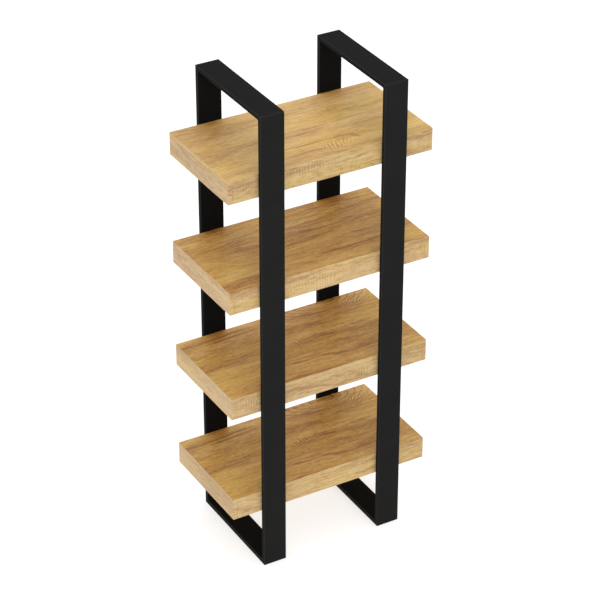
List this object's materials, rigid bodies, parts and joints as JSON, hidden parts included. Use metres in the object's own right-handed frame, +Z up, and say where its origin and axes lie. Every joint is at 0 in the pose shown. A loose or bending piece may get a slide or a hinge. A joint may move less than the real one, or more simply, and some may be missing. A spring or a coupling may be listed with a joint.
{
  "type": "bookcase with adjustable shelves",
  "caption": "Tall open bookcase: thick oak-look boxed shelves held between the posts of two flat black steel loops, with the middle shelves on pins that lift and move.",
  "frame": {"origin": "on the floor, below the middle of the bookcase, in the plane of the pads' undersides", "axes": "+Z up; +X to the right for someone facing the bookcase; the front, open side faces -Y and the wall side faces +Y"},
  "size_m": [0.7, 0.4, 1.6],
  "materials": {
    "black_powder_coat": "matt black powder coat with a fine texture",
    "oak_board": "rustic oak board with a matt lacquered surface",
    "plated_steel": "bright nickel plate",
    "pad_rubber": "matt black rubber"
  },
  "bodies": {
    "frame": {"left_front_post": "black_powder_coat", "left_rear_post": "black_powder_coat", "left_top_rail": "black_powder_coat", "left_bottom_rail": "black_powder_coat", "left_front_pad": "pad_rubber", "left_rear_pad": "pad_rubber", "right_front_post": "black_powder_coat", "right_rear_post": "black_powder_coat", "right_top_rail": "black_powder_coat", "right_bottom_rail": "black_powder_coat", "right_front_pad": "pad_rubber", "right_rear_pad": "pad_rubber", "shelf_1_top_panel": "oak_board", "shelf_1_bottom_panel": "oak_board", "shelf_1_front_apron": "oak_board", "shelf_1_rear_apron": "oak_board", "shelf_1_left_end": "oak_board", "shelf_1_right_end": "oak_board", "shelf_1_left_front_bracket": "black_powder_coat", "shelf_1_left_front_screw": "plated_steel", "shelf_1_left_rear_bracket": "black_powder_coat", "shelf_1_left_rear_screw": "plated_steel", "shelf_1_right_front_bracket": "black_powder_coat", "shelf_1_right_front_screw": "plated_steel", "shelf_1_right_rear_bracket": "black_powder_coat", "shelf_1_right_rear_screw": "plated_steel", "shelf_4_top_panel": "oak_board", "shelf_4_bottom_panel": "oak_board", "shelf_4_front_apron": "oak_board", "shelf_4_rear_apron": "oak_board", "shelf_4_left_end": "oak_board", "shelf_4_right_end": "oak_board", "shelf_4_left_front_bracket": "black_powder_coat", "shelf_4_left_front_screw": "plated_steel", "shelf_4_left_rear_bracket": "black_powder_coat", "shelf_4_left_rear_screw": "plated_steel", "shelf_4_right_front_bracket": "black_powder_coat", "shelf_4_right_front_screw": "plated_steel", "shelf_4_right_rear_bracket": "black_powder_coat", "shelf_4_right_rear_screw": "plated_steel"},
    "shelf_2": {"shelf_2_top_panel": "oak_board", "shelf_2_bottom_panel": "oak_board", "shelf_2_front_apron": "oak_board", "shelf_2_rear_apron": "oak_board", "shelf_2_left_end": "oak_board", "shelf_2_right_end": "oak_board"},
    "shelf_2_left_front_pin": {"shelf_2_left_front_pin": "plated_steel"},
    "shelf_2_left_rear_pin": {"shelf_2_left_rear_pin": "plated_steel"},
    "shelf_2_right_front_pin": {"shelf_2_right_front_pin": "plated_steel"},
    "shelf_2_right_rear_pin": {"shelf_2_right_rear_pin": "plated_steel"},
    "shelf_3": {"shelf_3_top_panel": "oak_board", "shelf_3_bottom_panel": "oak_board", "shelf_3_front_apron": "oak_board", "shelf_3_rear_apron": "oak_board", "shelf_3_left_end": "oak_board", "shelf_3_right_end": "oak_board"},
    "shelf_3_left_front_pin": {"shelf_3_left_front_pin": "plated_steel"},
    "shelf_3_left_rear_pin": {"shelf_3_left_rear_pin": "plated_steel"},
    "shelf_3_right_front_pin": {"shelf_3_right_front_pin": "plated_steel"},
    "shelf_3_right_rear_pin": {"shelf_3_right_rear_pin": "plated_steel"}
  },
  "joints": [
    {"name": "shelf_2_lift", "type": "slide", "parent": "frame", "child": "shelf_2", "axis": [0, 0, 1], "range_m": [0, 0.07]},
    {"name": "shelf_2_left_front_pin_pull", "type": "slide", "parent": "frame", "child": "shelf_2_left_front_pin", "axis": [0, 1, 0], "range_m": [0, 0.01]},
    {"name": "shelf_2_left_rear_pin_pull", "type": "slide", "parent": "frame", "child": "shelf_2_left_rear_pin", "axis": [0, -1, 0], "range_m": [0, 0.01]},
    {"name": "shelf_2_right_front_pin_pull", "type": "slide", "parent": "frame", "child": "shelf_2_right_front_pin", "axis": [0, 1, 0], "range_m": [0, 0.01]},
    {"name": "shelf_2_right_rear_pin_pull", "type": "slide", "parent": "frame", "child": "shelf_2_right_rear_pin", "axis": [0, -1, 0], "range_m": [0, 0.01]},
    {"name": "shelf_3_lift", "type": "slide", "parent": "frame", "child": "shelf_3", "axis": [0, 0, 1], "range_m": [0, 0.07]},
    {"name": "shelf_3_left_front_pin_pull", "type": "slide", "parent": "frame", "child": "shelf_3_left_front_pin", "axis": [0, 1, 0], "range_m": [0, 0.01]},
    {"name": "shelf_3_left_rear_pin_pull", "type": "slide", "parent": "frame", "child": "shelf_3_left_rear_pin", "axis": [0, -1, 0], "range_m": [0, 0.01]},
    {"name": "shelf_3_right_front_pin_pull", "type": "slide", "parent": "frame", "child": "shelf_3_right_front_pin", "axis": [0, 1, 0], "range_m": [0, 0.01]},
    {"name": "shelf_3_right_rear_pin_pull", "type": "slide", "parent": "frame", "child": "shelf_3_right_rear_pin", "axis": [0, -1, 0], "range_m": [0, 0.01]}
  ]
}
